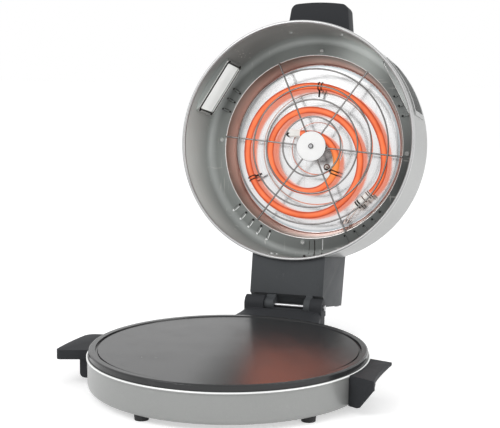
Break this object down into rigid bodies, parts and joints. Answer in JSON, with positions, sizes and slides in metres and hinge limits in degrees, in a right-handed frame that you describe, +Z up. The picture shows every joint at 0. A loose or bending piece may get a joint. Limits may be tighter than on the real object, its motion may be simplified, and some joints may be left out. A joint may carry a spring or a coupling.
{
  "type": "electric pizza maker",
  "caption": "Countertop pizza cooker with a round non-stick baking plate and a deep domed lid that hinges open and carries a spiral heater behind a wire guard.",
  "frame": {"origin": "on the table, under the centre of the round baking plate", "axes": "+Z up, -Y towards the cook, +Y towards the hinge, +X to the cook's right; the lid is stored open"},
  "size_m": [0.4824, 0.7193, 0.5719],
  "materials": {
    "body_paint": "silver-grey metallic paint, satin",
    "rim_metal": "rolled edge, polished bright",
    "nonstick": "dark non-stick coating, half gloss",
    "grey_plastic": "fine moulded grain, dark grey",
    "liner_metal": "satin sheet, slightly warm",
    "mirror_metal": "bright polished reflector",
    "element_glow": "glowing orange when hot",
    "element_steel": "oxidised sheath",
    "ceramic": "pale steatite insulator",
    "chrome_wire": "bright plated wire",
    "hub_white": "white enamel",
    "steel": "zinc plated",
    "pane": "clear toughened glass",
    "black_plastic": "black, fine texture",
    "rubber": "black rubber",
    "insulation": "needled fibre blanket",
    "lamp": "red translucent lens",
    "brass": "plain brass",
    "dial_print": "dark plate with pale figures"
  },
  "bodies": {
    "base": {"base_ring": "body_paint", "bottom_tray": "steel", "baking_plate": "nonstick", "plate_pillars": "steel", "pillar_screws": "steel", "lower_heater": "element_steel", "heater_pan": "steel", "heater_clamps": "steel", "plate_thermostat": "black_plastic", "thermal_fuse": "ceramic", "terminal_block": "ceramic", "feet": "rubber", "foot_screws": "steel", "left_handle": "grey_plastic", "right_handle": "grey_plastic", "side_handle_screws": "steel", "hinge_bracket": "grey_plastic", "bracket_screws": "steel", "rear_foot_pads": "rubber", "inlet_housing": "black_plastic", "inlet_blades": "brass", "hinge_pin": "steel", "pin_clip": "steel"},
    "lid": {"lid_shell": "body_paint", "rim_ring": "rim_metal", "lid_liner": "liner_metal", "wall_screws": "steel", "wall_spacers": "steel", "window_frame_left": "liner_metal", "window_frame_right": "liner_metal", "window_glass_left": "pane", "window_glass_right": "pane", "window_bezel_left": "body_paint", "window_bezel_right": "body_paint", "reflector_dish": "mirror_metal", "dish_screws": "steel", "insulation_pad": "insulation", "thermal_cutout": "black_plastic", "lead_grommet": "ceramic", "upper_heater": "element_glow", "heater_ends": "ceramic", "heater_clips": "steel", "terminal_bracket": "steel", "wire_guard": "chrome_wire", "hub_disc": "hub_white", "hub_screw": "steel", "guard_stud": "steel", "lid_handle": "grey_plastic", "handle_gasket": "black_plastic", "box_housing": "grey_plastic", "box_cover": "grey_plastic", "cover_screws": "steel", "lid_terminal_block": "ceramic", "thermostat_body": "black_plastic", "dial_plate": "dial_print", "pilot_lamps": "lamp"},
    "knob": {"control_knob": "black_plastic", "knob_shaft": "steel"}
  },
  "joints": [
    {"name": "lid_hinge", "type": "hinge", "parent": "base", "child": "lid", "pos_m": [0, 0.2787, 0.0647], "axis": [1, 0, 0], "range_deg": [0, 100.4]},
    {"name": "knob_turn", "type": "hinge", "parent": "lid", "child": "knob", "pos_m": [0.022, 0.42614, 0.07699], "axis": [0, 0.9607, -0.2775], "range_deg": [0, 290]}
  ]
}
